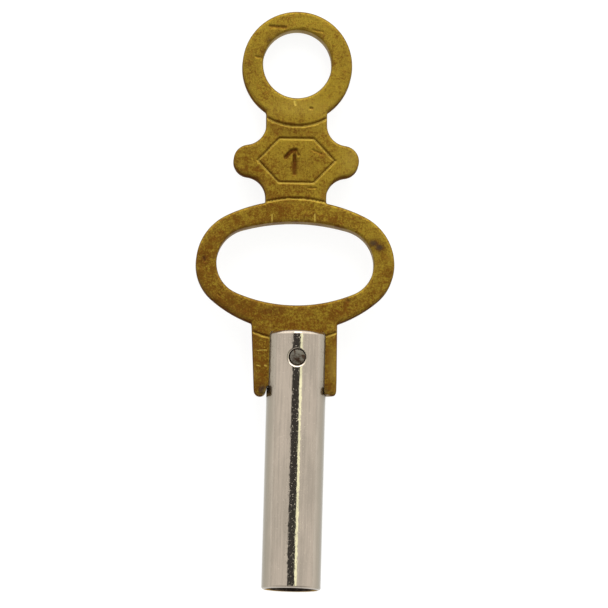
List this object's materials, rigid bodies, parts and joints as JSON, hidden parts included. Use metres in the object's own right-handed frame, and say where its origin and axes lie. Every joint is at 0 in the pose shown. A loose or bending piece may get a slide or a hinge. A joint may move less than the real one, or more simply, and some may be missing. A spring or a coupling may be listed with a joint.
{
  "type": "winding key",
  "caption": "Flat stamped brass bow with a hanging ring, a lugged waist and an oval finger loop, pinned into a slotted nickel-plated pipe with a square winding socket",
  "frame": {"origin": "on the surface that the pipe lies on, under the axis of the pipe, halfway along the key", "axes": "the key lies flat: +Y runs along the pipe from its mouth to the ring, +X runs across the bow, and +Z is the front of the bow, facing up"},
  "size_m": [0.0134, 0.0392, 0.004],
  "materials": {
    "bow_brass": "aged, handled brass with a mottled olive patina and worn edges",
    "pipe_nickel": "polished nickel plate with fine lengthwise scratches",
    "pin_steel": "dull grey steel"
  },
  "bodies": {
    "root": {"bow": "bow_brass", "pipe": "pipe_nickel", "pin": "pin_steel"}
  },
  "joints": []
}
